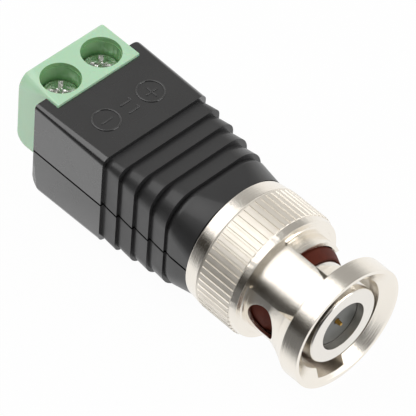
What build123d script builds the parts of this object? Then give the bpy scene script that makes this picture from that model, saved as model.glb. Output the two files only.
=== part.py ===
from build123d import *

import math
import os

# Adapter from a bayonet coaxial plug to a two-pole screw terminal block. Millimetres.
# The connector axis is X and the plug faces +X. The origin is the centre of the outer contact's front
# face, which is the plane that meets the mating socket. The clamp screws point up, along +Z.

# Clearances
running_gap = 0.07
seat_gap = 0.03
moving_gap = 0.1

# Connector body: a nickel-plated tube whose front end is the outer contact
contact_radius = 4.05
contact_face_radius = 3.91
contact_bore_radius = 2.57
contact_bore_depth = 6.0
body_bore_radius = 1.9
body_flange_radius = 5.2
body_flange_length = 0.8
spigot_radius = 2.6
spigot_length = 3.6

# Insulators and centre contact
insulator_recess = 0.83
front_insulator_length = 5.0
rear_insulator_length = 6.0
pin_recess = 0.23
pin_radius = 0.45
pin_tip_radius = 0.2
pin_nose_radius = 0.28
pin_nose_length = 0.8
pin_taper_length = 0.4
pin_tail_length = 1.2

# Coupling sleeve, measured back from its own front rim
sleeve_lead = 0.52
sleeve_length = 14.3
sleeve_bore_radius = 4.85
flange_radius = 6.5
flange_rim_radius = 6.1
flange_edge_chamfer = 0.12
flange_length = 2.05
cone_depth = 0.9
waist_radius = 5.2
waist_set = 5.3
flare_mid_radius = 5.77
flare_mid_set = 3.39
land_radius = 5.45
land_width = 5.2
land_angle = 123.7
nut_set = 7.85
nut_face_radius = 6.4
nut_step_radius = 5.8
nut_step_height = 0.12
knurl_set = 8.58
knurl_length = 4.18
knurl_radius = 6.65
knurl_depth = 0.24
knurl_teeth = 59
lip_radius = 6.42
lip_length = 4.3

# Bayonet slots in the sleeve
entry_angle = 77.5
entry_width = 3.4
entry_radius = 5.6
entry_depth = 6.2
lock_angle = 180.5
lock_set = 6.0
lock_radius = 1.72
ramp_radius = 5.02
ramp_width = 2.4
ramp_steps = 13

# Parts that load and keep the sleeve
thrust_washer_thickness = 0.3
spring_radius = 16.0
spring_thickness = 0.25
ring_width = 0.65
retaining_ring_thickness = 0.5
retaining_groove_depth = 0.3
gasket_set = 5.0
gasket_length = 2.9
gasket_radius = 4.72

# Housing outside
housing_gap = 0.12
neck_half = 6.0
neck_front_corner = 4.9
neck_rear_corner = 3.7
rib_pitch = 1.975
rib_count = 4
rib_top_depth = 0.45
rib_side_depth = 0.2
rib_bottom_depth = 0.2
rib_foot_corner = 0.3
rib_crease_set = 0.8
rib_crease_share = 0.5
neck_crease_share = 0.2
first_rib_half_width = 6.35
last_rib_half_width = 6.05
first_rib_corner = 1.1
last_rib_corner = 3.1
neck_length = 3.2
box_length = 9.1
box_half_width = 6.5
box_top = 5.85
box_bottom = -5.25
box_rear_corner = 0.45
box_front_corner = 0.8
box_heel = 1.9
box_plan_corner = 0.8
seam_z = -0.15

# Housing inside
housing_wall = 1.2
rib_wall = 0.78
neck_web = 1.0
pocket_depth = 1.6

# Terminal block
block_reach = 3.7
block_half_width = 5.1
block_top = 6.12
block_bottom = -2.65
block_top_round = 0.45
block_bottom_round = 1.2
block_corner = 1.9
block_corner_front = 0.3
block_edge = 0.15
terminal_pitch = 5.08
well_set = 2.84
well_radius = 1.957
well_step_depth = 0.5
well_lower_radius = 1.91
well_depth = 2.72
web_thickness = 0.4
chamber_length = 3.2
chamber_width = 3.5
wire_entry_radius = 1.3
wire_entry_lead = 0.25
wire_entry_z = -0.65

# Clamp screws and cages
head_radius = 1.7
head_height = 0.75
head_dome = 0.12
slot_width = 0.45
slot_depth = 0.4
slot_length = 2.9
slot_angle = -45.0
shank_radius = 1.25
shank_length = 2.6
cage_roof = 0.6
cage_floor = 0.5
cage_side = 0.4
cage_drop = 0.1
strip_thickness = 0.4
strip_width = 2.0
strip_z = 0.3
strip_reach = 1.6

# Ground lug and nut
lug_thickness = 0.4
lug_ring_radius = 3.9
lug_tag_width = 2.0
lug_tag_length = 3.2
nut_flats = 6.9
nut_thickness = 1.5

# Inner wires, soldered between the strips and the connector
wire_radius = 0.4
wire_bend_share = 0.45
solder_length = 1.4

# Raised marks on the top shell
mark_height = 0.1
mark_line = 0.14
mark_ring_radius = 1.33
mark_arm = 0.69
mark_x = 5.57
mark_y = 2.78
dash_x = 5.69
dash_offset = 0.58
dash_length = 1.3
tick_length = 0.28

# Places along the axis that follow from the sizes above
sleeve_rim_x = sleeve_lead
sleeve_rear_x = sleeve_rim_x - sleeve_length
lip_front_x = sleeve_rear_x + lip_length
neck_front_x = sleeve_rear_x - housing_gap
neck_rear_x = neck_front_x - neck_length
box_front_x = neck_rear_x - rib_count * rib_pitch
box_rear_x = box_front_x - box_length
body_flange_rear_x = neck_front_x - body_flange_length
web_rear_x = body_flange_rear_x - neck_web
spigot_rear_x = body_flange_rear_x - spigot_length
lug_rear_x = web_rear_x - lug_thickness
nut_rear_x = lug_rear_x - nut_thickness
pin_rear_x = spigot_rear_x - pin_tail_length
insulator_x = -insulator_recess
pocket_x = box_rear_x + pocket_depth
cavity_rear_x = pocket_x + housing_wall
block_front_x = pocket_x - seat_gap
block_rear_x = box_rear_x - block_reach
well_x = block_rear_x + well_set
screw_seat_z = block_top - well_depth
chamber_top_z = screw_seat_z - web_thickness
cage_floor_z = block_bottom + cage_drop + cage_floor
cage_roof_z = strip_z + strip_thickness + moving_gap
thrust_washer_x = lip_front_x + seat_gap
ring_outer_radius = sleeve_bore_radius - moving_gap
ring_inner_radius = contact_radius + running_gap
spring_x = thrust_washer_x + thrust_washer_thickness + seat_gap
spring_rise = spring_radius - math.sqrt(spring_radius**2 - ring_outer_radius**2)
retaining_ring_x = spring_x + spring_rise + spring_thickness + moving_gap
gasket_front_x = sleeve_rim_x - gasket_set
gasket_rear_x = gasket_front_x - gasket_length
poles = {"minus": -terminal_pitch / 2, "plus": terminal_pitch / 2}


def turned(points):
    """Solid turned about the X axis from (x, radius) points."""
    outline = Polyline(*points, close=True)
    return revolve(make_face(outline), Axis.X)


def ring(rear_x, length, inner, outer):
    """Plain ring about the X axis."""
    front_x = rear_x + length
    return turned([(rear_x, inner), (front_x, inner), (front_x, outer), (rear_x, outer)])


def block_between(low, high):
    """Box between two corners."""
    size = [b - a for a, b in zip(low, high)]
    middle = [(a + b) / 2 for a, b in zip(low, high)]
    return Pos(*middle) * Box(*size)


def placed(face, x):
    """Face drawn in Y and Z, moved to its place on the axis."""
    return Plane((x, 0, 0), x_dir=(0, 1, 0), z_dir=(1, 0, 0)) * face


def prism(face, rear_x, length):
    """Face drawn in Y and Z, extruded along X."""
    return extrude(placed(face, rear_x), length)


def drawn_out(sections):
    """Body with straight sides from one (x, face) section to the next."""
    return loft([placed(face, x) for x, face in sections], ruled=True)


def rounded_section(half_width, top, bottom, corner):
    """Rounded rectangle in Y and Z."""
    outline = RectangleRounded(2 * half_width, top - bottom, corner)
    return Pos(0, (top + bottom) / 2) * outline


def radial_bar(angle, width, length, middle_x):
    """Bar through the axis that leaves it at the angle, measured from +Y towards +Z."""
    return Rot(angle, 0, 0) * Pos(middle_x, 0, 0) * Box(length, 4 * flange_radius, width)


# Coupling sleeve: one casting, turned and knurled
def rim_x(setback):
    """Place on the axis of something measured back from the sleeve's rim."""
    return sleeve_rim_x - setback


def sleeve_waist():
    flare = ThreePointArc(
        (rim_x(waist_set), waist_radius),
        (rim_x(flare_mid_set), flare_mid_radius),
        (rim_x(flange_length), flange_radius),
    )
    edge_x = rim_x(flange_edge_chamfer)
    outline = flare + Polyline(
        (rim_x(flange_length), flange_radius),
        (edge_x, flange_radius),
        (sleeve_rim_x, flange_radius - flange_edge_chamfer),
        (sleeve_rim_x, flange_rim_radius),
        (rim_x(cone_depth), sleeve_bore_radius),
        (rim_x(nut_set), sleeve_bore_radius),
        (rim_x(nut_set), waist_radius),
        (rim_x(waist_set), waist_radius),
    )
    return revolve(make_face(outline), Axis.X)


def sleeve_lands():
    shoulder = flange_radius - land_radius
    return turned(
        [
            (rim_x(nut_set), sleeve_bore_radius),
            (rim_x(nut_set), land_radius),
            (rim_x(flange_length + shoulder), land_radius),
            (rim_x(flange_length), flange_radius),
            (rim_x(flange_length), sleeve_bore_radius),
        ]
    )


def sleeve_nut():
    knurl_front_x = rim_x(knurl_set)
    knurl_rear_x = knurl_front_x - knurl_length
    root_radius = knurl_radius - knurl_depth
    shell = turned(
        [
            (rim_x(nut_set) + nut_step_height, sleeve_bore_radius),
            (rim_x(nut_set) + nut_step_height, nut_step_radius),
            (rim_x(nut_set), nut_step_radius),
            (rim_x(nut_set), nut_face_radius),
            (knurl_front_x, knurl_radius),
            (knurl_front_x, root_radius),
            (knurl_rear_x, root_radius),
            (knurl_rear_x, knurl_radius),
            (sleeve_rear_x, lip_radius),
            (sleeve_rear_x, contact_radius + running_gap),
            (lip_front_x, contact_radius + running_gap),
            (lip_front_x, sleeve_bore_radius),
        ]
    )
    points = []
    for step in range(2 * knurl_teeth):
        angle = math.pi * step / knurl_teeth
        radius = knurl_radius if step % 2 == 0 else root_radius
        points.append((radius * math.cos(angle), radius * math.sin(angle)))
    inner = Circle(sleeve_bore_radius + knurl_depth)
    teeth = make_face(Polyline(*points, close=True)) - inner
    return shell + prism(teeth, knurl_rear_x, knurl_length)


def coupling_sleeve():
    land_length = nut_set - flange_length
    land_middle = rim_x((nut_set + flange_length) / 2)
    bar = radial_bar(land_angle, land_width, land_length, land_middle)
    sleeve = sleeve_waist() - bar + (sleeve_lands() & bar) + sleeve_nut()
    entry_x = rim_x(entry_depth)
    entry = radial_bar(entry_angle, entry_width, entry_depth + 1, entry_x + (entry_depth + 1) / 2)
    sleeve -= entry & ring(entry_x, entry_depth + 1, 0, entry_radius)
    for half_turn in (0, 180):
        lock = Cylinder(lock_radius, 2 * flange_radius, align=(Align.CENTER, Align.CENTER, Align.MIN))
        turn = Rot(lock_angle - 90 + half_turn, 0, 0)
        sleeve -= turn * Pos(rim_x(lock_set), 0, 0) * lock
        for step in range(ramp_steps):
            share = step / (ramp_steps - 1)
            angle = entry_angle + (lock_angle - entry_angle) * share
            setback = entry_depth - ramp_width / 2 + (lock_set - entry_depth + ramp_width / 2) * share
            pocket = Cylinder(ramp_width / 2, ramp_radius, align=(Align.CENTER, Align.CENTER, Align.MIN))
            sleeve -= Rot(angle - 90 + half_turn, 0, 0) * Pos(rim_x(setback), 0, 0) * pocket
    return sleeve


# Connector body and what it carries
def connector_body():
    groove_x = retaining_ring_x - seat_gap
    groove_front_x = retaining_ring_x + retaining_ring_thickness + seat_gap
    groove_radius = contact_radius - retaining_groove_depth
    edge = contact_radius - contact_face_radius
    return turned(
        [
            (0, contact_bore_radius),
            (0, contact_face_radius),
            (-edge, contact_radius),
            (groove_front_x, contact_radius),
            (groove_front_x, groove_radius),
            (groove_x, groove_radius),
            (groove_x, contact_radius),
            (neck_front_x, contact_radius),
            (neck_front_x, body_flange_radius),
            (body_flange_rear_x, body_flange_radius),
            (body_flange_rear_x, spigot_radius),
            (spigot_rear_x, spigot_radius),
            (spigot_rear_x, body_bore_radius),
            (-contact_bore_depth, body_bore_radius),
            (-contact_bore_depth, contact_bore_radius),
        ]
    )


def front_insulator():
    front_hole = pin_nose_radius + seat_gap
    shoulder_x = -pin_recess - pin_nose_length
    return turned(
        [
            (insulator_x, front_hole),
            (insulator_x, contact_bore_radius - seat_gap),
            (insulator_x - front_insulator_length, contact_bore_radius - seat_gap),
            (insulator_x - front_insulator_length, pin_radius + seat_gap),
            (shoulder_x - pin_taper_length, pin_radius + seat_gap),
            (shoulder_x, front_hole),
        ]
    )


def rear_insulator():
    outer = body_bore_radius - seat_gap
    return ring(spigot_rear_x, rear_insulator_length, pin_radius + seat_gap, outer)


def center_pin():
    nose_x = -pin_recess - pin_nose_length
    return turned(
        [
            (-pin_recess, 0),
            (-pin_recess, pin_tip_radius / 2),
            (-pin_recess - pin_tip_radius / 2, pin_tip_radius),
            (nose_x, pin_nose_radius),
            (nose_x - pin_taper_length, pin_radius),
            (pin_rear_x, pin_radius),
            (pin_rear_x, 0),
        ]
    )


def gasket():
    return ring(gasket_rear_x, gasket_length, contact_radius + seat_gap, gasket_radius)


def thrust_washer():
    return ring(thrust_washer_x, thrust_washer_thickness, ring_inner_radius, ring_outer_radius)


def spring_washer():
    """Flat ring rolled to a gentle curve, so that it touches at its middle and at its two ends."""
    height = 4 * ring_outer_radius
    shell = Cylinder(spring_radius + spring_thickness, height) - Cylinder(spring_radius, height)
    centre_x = spring_x + spring_rise - spring_radius
    cut = ring(spring_x - 1, spring_rise + 3, ring_outer_radius - ring_width, ring_outer_radius)
    return (Pos(centre_x, 0, 0) * shell) & cut


def retaining_ring():
    """Open ring, with a gap at the bottom for fitting it."""
    inner = contact_radius - retaining_groove_depth + seat_gap
    whole = ring(retaining_ring_x, retaining_ring_thickness, inner, ring_outer_radius)
    gap = 2 * ring_width
    low = (retaining_ring_x - 1, -gap / 2, -2 * ring_outer_radius)
    high = (retaining_ring_x + 1, gap / 2, 0)
    return whole - block_between(low, high)


# Rear of the connector: lug and nut that clamp it in the housing's neck
def ground_lug():
    """Ring tag whose tail is bent back beside the nut."""
    flat = ring(lug_rear_x, lug_thickness, spigot_radius + seat_gap, lug_ring_radius)
    tag_y = -nut_flats / 2 - lug_thickness - moving_gap
    arm_low = (lug_rear_x, tag_y - lug_thickness, -lug_tag_width / 2)
    arm_high = (web_rear_x, -spigot_radius - ring_width, lug_tag_width / 2)
    tail_low = (lug_rear_x - lug_tag_length, tag_y - lug_thickness, -lug_tag_width / 2)
    tail_high = (lug_rear_x, tag_y, lug_tag_width / 2)
    return flat + block_between(arm_low, arm_high) + block_between(tail_low, tail_high)


def rear_nut():
    hexagon = Rot(0, 0, 30) * RegularPolygon(nut_flats / 2, 6, major_radius=False)
    return prism(hexagon - Circle(spigot_radius + seat_gap), nut_rear_x, nut_thickness)


# Housing: two moulded shells that meet at the seam
def sunk_section(half_width, top, bottom, corner, sink):
    """Outer section of the grip, sunk by a share of the depth at a rib's foot."""
    return rounded_section(
        half_width - rib_side_depth * sink,
        top - rib_top_depth * sink,
        bottom + rib_bottom_depth * sink,
        corner - rib_foot_corner * sink,
    )


def rib(share, rear_x):
    """One grip rib, with its foot at the rear, from the box (0) to the neck (1)."""
    half_width = first_rib_half_width + (last_rib_half_width - first_rib_half_width) * share
    top = box_top + (neck_half - box_top) * share
    bottom = box_bottom + (-neck_half - box_bottom) * share
    corner = first_rib_corner + (last_rib_corner - first_rib_corner) * share
    foot = sunk_section(half_width, top, bottom, corner, 1)
    crease = sunk_section(half_width, top, bottom, corner, rib_crease_share)
    edge = sunk_section(half_width, top, bottom, corner, 0)
    return drawn_out([(rear_x, foot), (rear_x + rib_crease_set, crease), (rear_x + rib_pitch, edge)])


def neck():
    foot = sunk_section(neck_half, neck_half, -neck_half, neck_rear_corner, 1)
    crease = sunk_section(neck_half, neck_half, -neck_half, neck_rear_corner, neck_crease_share)
    front = sunk_section(neck_half, neck_half, -neck_half, neck_front_corner, 0)
    return drawn_out([(neck_rear_x, foot), (neck_rear_x + rib_crease_set, crease), (neck_front_x, front)])


def housing_plan():
    """Top view of the box, whose rear corner on the plus side is rounded."""
    outline = Pos(box_rear_x + box_length / 2, 0) * Rectangle(box_length, 2 * box_half_width)
    corner = outline.vertices().group_by(Axis.X)[0].sort_by(Axis.Y)[-1]
    return fillet(corner, box_plan_corner)


def housing_outside():
    rear = rounded_section(box_half_width, box_top, box_bottom, box_rear_corner)
    front = rounded_section(box_half_width, box_top, box_bottom, box_front_corner)
    box = drawn_out([(box_rear_x, rear), (box_front_x, front)])
    box &= extrude(housing_plan(), 2 * box_top, both=True)
    heel_low = (box_rear_x - 1, -2 * box_half_width, box_bottom - 1)
    heel_high = (box_rear_x + box_heel, 2 * box_half_width, box_bottom + box_heel)
    heel_round = Rot(90, 0, 0) * Cylinder(box_heel, 5 * box_half_width)
    heel = block_between(heel_low, heel_high) - Pos(heel_high[0], 0, heel_high[2]) * heel_round
    shape = box - heel + neck()
    for number in range(rib_count):
        shape += rib(number / (rib_count - 1), box_front_x + number * rib_pitch)
    return shape


def housing_inside():
    """Everything that is cut from the housing: the cavity, the connector's seat and the block's pocket."""
    box_width = box_half_width - housing_wall
    low = (cavity_rear_x, -box_width, box_bottom + housing_wall)
    high = (box_front_x, box_width, box_top - housing_wall)
    cut = block_between(low, high)
    rib_half = last_rib_half_width - rib_side_depth - rib_wall
    rib_room = rounded_section(rib_half, rib_half, -rib_half, neck_rear_corner)
    room_rear_x = box_front_x - housing_wall
    room = prism(rib_room, room_rear_x, web_rear_x - room_rear_x)
    room &= block_between((room_rear_x, -box_half_width, low[2]), (web_rear_x, box_half_width, high[2]))
    cut += room
    cut += ring(web_rear_x - 1, 2 + neck_web, 0, spigot_radius + seat_gap)
    cut += ring(body_flange_rear_x, body_flange_length + 1, 0, body_flange_radius + seat_gap)
    pocket_half = block_half_width + seat_gap
    pocket_low = (box_rear_x - 1, -pocket_half, block_bottom - seat_gap)
    cut += block_between(pocket_low, (pocket_x, pocket_half, 2 * box_top))
    for y in poles.values():
        half = strip_width / 2 + seat_gap
        slot_low = (pocket_x - 1, y - half, seam_z)
        slot_high = (cavity_rear_x + 1, y + half, strip_z + strip_thickness + seat_gap)
        cut += block_between(slot_low, slot_high)
    return cut


def top_marks():
    """Raised plus, minus and direct-current marks."""
    centre_x = box_rear_x + mark_x
    base = Plane.XY.offset(box_top - mark_height)
    marks = Sketch()
    rings = Circle(mark_ring_radius + mark_line / 2) - Circle(mark_ring_radius - mark_line / 2)
    for y in (-mark_y, mark_y):
        marks += Pos(centre_x, y) * rings
        marks += Pos(centre_x, y) * Rectangle(mark_line, 2 * mark_arm)
    marks += Pos(centre_x, mark_y) * Rectangle(2 * mark_arm, mark_line)
    for side in (-1, 1):
        bar_x = box_rear_x + dash_x + side * dash_offset
        marks += Pos(bar_x, 0) * Rectangle(mark_line, dash_length)
        marks += Pos(bar_x - tick_length / 2, dash_length / 2) * Rectangle(tick_length, mark_line)
    return extrude(base * marks, 2 * mark_height)


def housing_shell(above):
    """One half of the housing, above or below the seam."""
    reach = 4 * box_half_width
    low_z, high_z = (seam_z, reach) if above else (-reach, seam_z)
    half = block_between((box_rear_x - reach, -reach, low_z), (reach, reach, high_z))
    return housing_outside() & half


def housing_top():
    return housing_shell(True) - housing_inside() + top_marks()


def housing_bottom():
    return housing_shell(False) - housing_inside()


# Terminal block, screws, cages and strips
def block_section(corner):
    """Section of the block, with its top corner on the minus side rounded."""
    bend = corner * (1 - math.sqrt(0.5))
    arc = ThreePointArc(
        (-block_half_width, block_top - corner),
        (-block_half_width + bend, block_top - bend),
        (-block_half_width + corner, block_top),
    )
    rest = Polyline(
        (-block_half_width + corner, block_top),
        (block_half_width, block_top),
        (block_half_width, block_bottom),
        (-block_half_width, block_bottom),
        (-block_half_width, block_top - corner),
    )
    return make_face(arc + rest)


def block_side_view():
    """Side view of the block, with its two rear edges rounded."""
    middle = Pos((block_rear_x + block_front_x) / 2, (block_top + block_bottom) / 2)
    outline = middle * Rectangle(block_front_x - block_rear_x, block_top - block_bottom)
    rear_corners = outline.vertices().group_by(Axis.X)[0].sort_by(Axis.Y)
    outline = fillet(rear_corners[-1], block_top_round)
    rear_corners = outline.vertices().group_by(Axis.X)[0].sort_by(Axis.Y)
    return fillet(rear_corners[0], block_bottom_round)


def terminal_block():
    front = block_section(block_corner_front)
    body = drawn_out([(block_rear_x, block_section(block_corner)), (box_rear_x, front)])
    body += prism(front, box_rear_x, block_front_x - box_rear_x)
    body &= extrude(Plane.XZ * block_side_view(), 2 * block_half_width, both=True)
    body = chamfer(body.edges().filter_by(Axis.Y).group_by(Axis.X)[-1], block_edge)
    for y in poles.values():
        well = Pos(well_x, y, block_top - well_step_depth) * Cylinder(
            well_radius, 2 * well_step_depth, align=(Align.CENTER, Align.CENTER, Align.MIN))
        lower = Pos(well_x, y, screw_seat_z) * Cylinder(
            well_lower_radius, well_depth, align=(Align.CENTER, Align.CENTER, Align.MIN))
        hole = Pos(well_x, y, screw_seat_z) * Cylinder(shank_radius + moving_gap, 4 * web_thickness)
        body -= well + lower + hole
        chamber_low = (well_x - chamber_length / 2, y - chamber_width / 2, block_bottom - 1)
        chamber_high = (well_x + chamber_length / 2, y + chamber_width / 2, chamber_top_z)
        body -= block_between(chamber_low, chamber_high)
        wall = well_x - chamber_length / 2 - block_rear_x
        entry = turned(
            [
                (block_rear_x - 1, 0),
                (block_rear_x - 1, wire_entry_radius + wire_entry_lead),
                (block_rear_x, wire_entry_radius + wire_entry_lead),
                (block_rear_x + wire_entry_lead, wire_entry_radius),
                (block_rear_x + wall + seat_gap, wire_entry_radius),
                (block_rear_x + wall + seat_gap, 0),
            ]
        )
        body -= Pos(0, y, wire_entry_z) * entry
        half = strip_width / 2 + seat_gap
        slot_low = (well_x, y - half, strip_z - seat_gap)
        slot_high = (block_front_x + 1, y + half, strip_z + strip_thickness + seat_gap)
        body -= block_between(slot_low, slot_high)
    return body


def terminal_screw(y):
    """Clamp screw with a domed, slotted head. Its thread is left plain."""
    seat = screw_seat_z + seat_gap
    profile = Polyline(
        (0, seat - shank_length),
        (shank_radius, seat - shank_length),
        (shank_radius, seat),
        (head_radius, seat),
        (head_radius, seat + head_height),
    )
    dome = ThreePointArc(
        (head_radius, seat + head_height),
        (head_radius / 2, seat + head_height + 0.75 * head_dome),
        (0, seat + head_height + head_dome),
    )
    axis_line = Line((0, seat + head_height + head_dome), (0, seat - shank_length))
    face = make_face(profile + dome + axis_line)
    screw = revolve(Plane.XZ * face, Axis.Z)
    depth = slot_depth + head_dome
    slot = Box(slot_length, slot_width, depth) + Box(slot_width, slot_length, depth)
    slot_z = seat + head_height + head_dome - depth / 2
    screw -= Pos(0, 0, slot_z) * Rot(0, 0, slot_angle) * slot
    return Pos(well_x, y, 0) * screw


def clamp_cage(y):
    """Square frame that the screw lifts. The wire goes in under the strip."""
    half_x = chamber_length / 2 - moving_gap
    half_y = chamber_width / 2 - moving_gap
    low_z = block_bottom + cage_drop
    frame = block_between((-half_x, -half_y, low_z), (half_x, half_y, cage_roof_z + cage_roof))
    inner_y = half_y - cage_side
    window_low = (-2 * half_x, -inner_y, cage_floor_z)
    frame -= block_between(window_low, (2 * half_x, inner_y, cage_roof_z))
    frame -= Pos(0, 0, cage_roof_z + cage_roof) * Cylinder(shank_radius + running_gap, 3 * cage_roof)
    return Pos(well_x, y, 0) * frame


def contact_strip(y):
    """Tinned bar from inside the cage to the solder joint behind the block's pocket."""
    rear_x = well_x - chamber_length / 2 + moving_gap
    low = (rear_x, y - strip_width / 2, strip_z)
    return block_between(low, (cavity_rear_x + strip_reach, y + strip_width / 2, strip_z + strip_thickness))


def wire(points):
    """Round wire along straight runs joined by arcs, each as large as its two runs allow."""
    places = [Vector(*point) for point in points]
    radii = []
    for before, here, after in zip(places, places[1:], places[2:]):
        shorter = min((here - before).length, (after - here).length)
        turn = math.radians((here - before).get_angle(after - here))
        radii.append(wire_bend_share * shorter / math.tan(turn / 2))
    path = FilletPolyline(*places, radius=radii)
    start = Plane(origin=path @ 0, z_dir=path % 0)
    return sweep(start * Circle(wire_radius), path=path)


strip_front_x = cavity_rear_x + strip_reach
solder_z = strip_z + strip_thickness + wire_radius + seat_gap
lug_tail_x = lug_rear_x - lug_tag_length - seat_gap
lug_tail_y = -nut_flats / 2 - 1.5 * lug_thickness - moving_gap
signal_route = [
    (strip_front_x - solder_length, poles["plus"], solder_z),
    (strip_front_x + 1.6, poles["plus"], solder_z),
    (strip_front_x + 4.4, 2.0, 1.6),
    (strip_front_x + 7.4, 0.5, 0.9),
    (pin_rear_x - 1.8, 0, 0),
    (pin_rear_x - seat_gap, 0, 0),
]
ground_route = [
    (strip_front_x - solder_length, poles["minus"], solder_z),
    (strip_front_x + 1.4, poles["minus"], solder_z),
    (strip_front_x + 4.0, -3.3, 1.3),
    (strip_front_x + 6.6, -4.1, 0.5),
    (lug_tail_x - 1.6, lug_tail_y, 0),
    (lug_tail_x, lug_tail_y, 0),
]

parts = {
    "housing_top": housing_top(),
    "housing_bottom": housing_bottom(),
    "terminal_block": terminal_block(),
    "coupling_sleeve": coupling_sleeve(),
    "connector_body": connector_body(),
    "front_insulator": front_insulator(),
    "rear_insulator": rear_insulator(),
    "center_pin": center_pin(),
    "gasket": gasket(),
    "thrust_washer": thrust_washer(),
    "spring_washer": spring_washer(),
    "retaining_ring": retaining_ring(),
    "ground_lug": ground_lug(),
    "rear_nut": rear_nut(),
    "signal_wire": wire(signal_route),
    "ground_wire": wire(ground_route),
}
for pole, pole_y in poles.items():
    parts["terminal_screw_" + pole] = terminal_screw(pole_y)
    parts["clamp_cage_" + pole] = clamp_cage(pole_y)
    parts["contact_strip_" + pole] = contact_strip(pole_y)

os.makedirs("parts", exist_ok=True)
for name, shape in parts.items():
    export_step(shape, f"parts/{name}.step")
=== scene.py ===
import math

import bpy
from mathutils import Matrix, Vector


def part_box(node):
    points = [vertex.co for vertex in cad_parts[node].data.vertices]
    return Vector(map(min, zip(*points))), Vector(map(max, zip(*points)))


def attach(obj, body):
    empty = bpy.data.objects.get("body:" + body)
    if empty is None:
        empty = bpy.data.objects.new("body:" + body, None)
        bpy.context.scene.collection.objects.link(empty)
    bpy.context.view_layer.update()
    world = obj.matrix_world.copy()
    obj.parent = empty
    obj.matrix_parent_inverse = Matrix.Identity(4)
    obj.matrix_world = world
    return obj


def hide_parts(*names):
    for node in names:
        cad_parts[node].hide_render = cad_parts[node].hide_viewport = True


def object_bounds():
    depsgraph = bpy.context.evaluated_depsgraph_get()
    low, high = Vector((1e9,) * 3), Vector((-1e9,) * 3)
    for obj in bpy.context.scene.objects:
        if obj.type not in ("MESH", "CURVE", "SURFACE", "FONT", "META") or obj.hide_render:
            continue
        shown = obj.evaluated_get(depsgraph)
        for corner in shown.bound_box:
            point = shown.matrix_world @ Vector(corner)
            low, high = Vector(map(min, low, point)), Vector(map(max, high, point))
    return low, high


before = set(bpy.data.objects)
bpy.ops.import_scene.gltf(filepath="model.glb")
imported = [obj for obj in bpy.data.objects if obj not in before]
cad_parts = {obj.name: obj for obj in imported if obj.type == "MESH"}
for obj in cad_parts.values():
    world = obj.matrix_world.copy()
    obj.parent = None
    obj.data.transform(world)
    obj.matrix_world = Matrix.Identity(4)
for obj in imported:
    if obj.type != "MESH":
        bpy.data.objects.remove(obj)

cad_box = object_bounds()
mm = 0.001

# Stage: a pale table and the camera, which looks down on the adapter from in front of the plug's right
# side through a long lens, with the plug towards it. The table glows by itself, and less so in the metal's
# reflections beyond card_edge along camera_side, where the studio is unlit too.
camera_place = (0.15695, -0.19007, 0.28663)
camera_right = (0.69115, 0.72046, 0.05702)
camera_down = (0.56272, -0.48696, -0.66799)
camera_forward = (-0.45349, 0.49377, -0.74198)
lens_mm = 365.3
table_size = 3.0
glow_share = 0.97
card_edge = 0.009
card_fade = 0.006
card_dimming = 0.85
camera_side = (0.35, -0.94, 0.0)


def linear(colour):
    """Linear colour from sRGB hex."""
    parts = [int(colour[i:i + 2], 16) / 255 for i in (1, 3, 5)]
    return tuple(p / 12.92 if p <= 0.04045 else ((p + 0.055) / 1.055) ** 2.4 for p in parts) + (1.0,)


def add(tree, kind, links=None, **settings):
    """Node with its settings, its input values and its links."""
    made = tree.nodes.new(kind)
    for name, value in settings.items():
        setattr(made, name, value)
    for name, value in (links or {}).items():
        if isinstance(value, bpy.types.NodeSocket):
            tree.links.new(value, made.inputs[name])
        else:
            made.inputs[name].default_value = value
    return made


def empty_material(name):
    material = bpy.data.materials.new(name)
    material.use_nodes = True
    material.node_tree.nodes.clear()
    return material


def finish_material(material, shader):
    add(material.node_tree, "ShaderNodeOutputMaterial", {"Surface": shader.outputs[0]})
    return material


camera_data = bpy.data.cameras.new("camera")
camera_data.lens = lens_mm
camera_data.sensor_width = 36.0
camera_data.clip_start = 0.05
camera_data.clip_end = 20.0
camera = bpy.data.objects.new("camera", camera_data)
bpy.context.collection.objects.link(camera)
turn = Matrix((camera_right, [-d for d in camera_down], [-f for f in camera_forward])).transposed()
camera.matrix_world = Matrix.Translation(camera_place) @ turn.to_4x4()
bpy.context.scene.camera = camera

bpy.ops.object.select_all(action="DESELECT")
bpy.ops.mesh.primitive_plane_add(size=table_size, location=(0, 0, cad_box[0][2]))
table = bpy.context.object
table.name = "table"
white_card = empty_material("white_card")
tree = white_card.node_tree
matt = add(tree, "ShaderNodeBsdfDiffuse", {"Color": linear("#F4F4F3")})
rays = add(tree, "ShaderNodeLightPath")
spot = add(tree, "ShaderNodeNewGeometry")
ahead = add(tree, "ShaderNodeVectorMath", {0: spot.outputs["Position"], 1: camera_side},
            operation="DOT_PRODUCT")
beyond = add(tree, "ShaderNodeMapRange", {"Value": ahead.outputs["Value"], "From Min": card_edge,
                                          "From Max": card_edge + card_fade, "To Max": card_dimming})
dim = add(tree, "ShaderNodeMath", {0: beyond.outputs[0], 1: rays.outputs["Is Glossy Ray"]},
          operation="MULTIPLY")
light = add(tree, "ShaderNodeMath", {0: 1.0, 1: dim.outputs[0]}, operation="SUBTRACT")
glow = add(tree, "ShaderNodeEmission", {"Color": linear("#FFFFFF"), "Strength": light.outputs[0]})
seen = add(tree, "ShaderNodeMath", {0: rays.outputs["Is Camera Ray"], 1: rays.outputs["Is Glossy Ray"]},
           operation="ADD")
seen = add(tree, "ShaderNodeMath", {0: seen.outputs[0], 1: rays.outputs["Is Transmission Ray"]},
           operation="ADD")
share = add(tree, "ShaderNodeMath", {0: seen.outputs[0], 1: glow_share}, operation="MULTIPLY",
            use_clamp=True)
mix = add(tree, "ShaderNodeMixShader", {0: share.outputs[0], 1: matt.outputs[0], 2: glow.outputs[0]})
finish_material(white_card, mix)
table.data.materials.append(white_card)

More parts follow.
